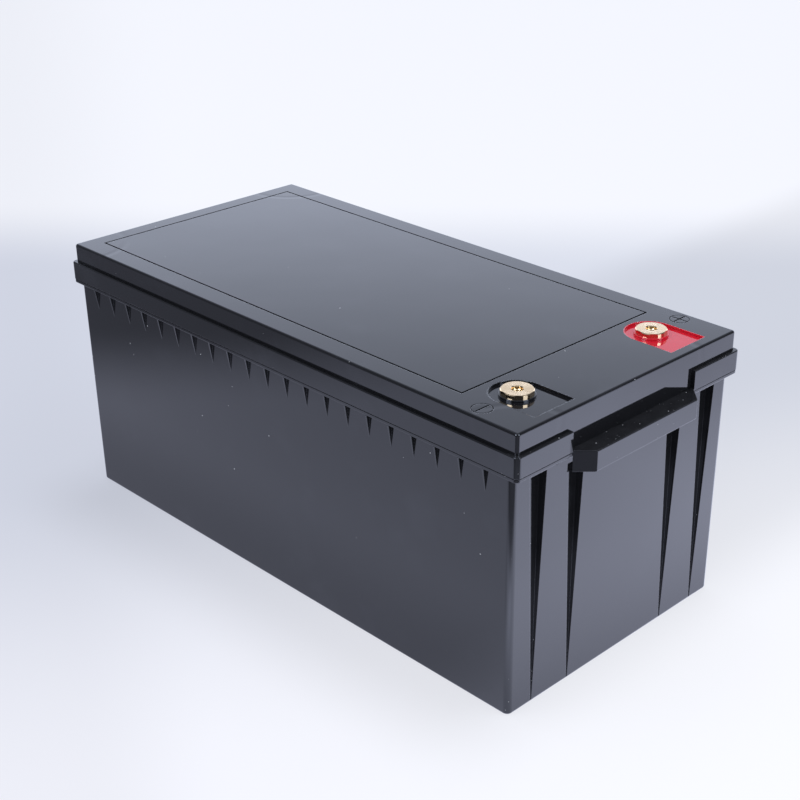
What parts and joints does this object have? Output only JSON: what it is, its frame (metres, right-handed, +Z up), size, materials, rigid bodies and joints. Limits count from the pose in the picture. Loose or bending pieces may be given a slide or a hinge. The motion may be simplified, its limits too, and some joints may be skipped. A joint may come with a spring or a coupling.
{
  "type": "battery pack",
  "caption": "Rectangular black plastic battery pack with a flat seated lid, brass threaded terminals in recessed pockets, tapering end flutes and moulded end grips.",
  "frame": {"origin": "centre of the case's underside", "axes": "+X along the long side towards the terminal end, +Y towards the positive terminal's side, +Z up"},
  "size_m": [0.523, 0.24, 0.2219],
  "materials": {
    "case_abs": "glossy moulded black ABS",
    "lid_abs": "glossy moulded black ABS",
    "black_liner": "glossy moulded black ABS",
    "red_abs": "glossy moulded red ABS",
    "brass": "machined and polished",
    "seal_rubber": "matte",
    "steel": "zinc plated",
    "tinned_copper": "tin plated copper",
    "busbar_copper": "bare copper, satin",
    "cell_film": "blue insulating film",
    "cell_aluminium": "satin",
    "heatsink_aluminium": "dark anodised",
    "glass_fibre_sheet": "glass-fibre laminate",
    "foam": "closed-cell foam",
    "circuit_board": "solder mask",
    "chip_plastic": "moulded epoxy",
    "nylon": "natural nylon",
    "red_cable": "silicone sheath",
    "black_cable": "silicone sheath",
    "thin_wire": "thin PVC sheath"
  },
  "bodies": {
    "case": {"case_shell": "case_abs", "balance_plug": "nylon", "battery_cable_lugs": "tinned_copper", "battery_negative_lead": "black_cable", "bms_board": "circuit_board", "bms_cable_blocks": "busbar_copper", "bms_heatsink": "heatsink_aluminium", "bms_mounting_plate": "glass_fibre_sheet", "bms_screws": "steel", "bms_standoffs": "nylon", "bms_transistors": "chip_plastic", "bottom_pad": "foam", "busbar_1_2": "busbar_copper", "busbar_2_3": "busbar_copper", "busbar_3_4": "busbar_copper", "busbar_nuts": "steel", "cell_1": "cell_film", "cell_2": "cell_film", "cell_3": "cell_film", "cell_4": "cell_film", "cell_posts": "cell_aluminium", "cell_separators": "glass_fibre_sheet", "cell_vents": "cell_aluminium", "compression_straps": "steel", "end_plates": "cell_aluminium", "front_foam": "foam", "negative_lead": "black_cable", "positive_lead": "red_cable", "rear_foam": "foam", "sense_tags": "tinned_copper", "sense_wires": "thin_wire", "side_foam_left": "foam", "side_foam_right": "foam", "temperature_sensor": "black_cable"},
    "lid": {"lid_shell": "lid_abs", "lid_seal": "seal_rubber", "positive_terminal_liner": "red_abs", "negative_terminal_liner": "black_liner", "positive_terminal": "brass", "negative_terminal": "brass", "terminal_orings": "seal_rubber", "terminal_washers": "steel", "lid_cable_lugs": "tinned_copper", "terminal_nuts": "steel"}
  },
  "joints": [
    {"name": "lid_lift", "type": "slide", "parent": "case", "child": "lid", "axis": [0, 0, 1], "range_m": [0, 0.09], "deforming": ["positive_lead", "negative_lead"]}
  ]
}
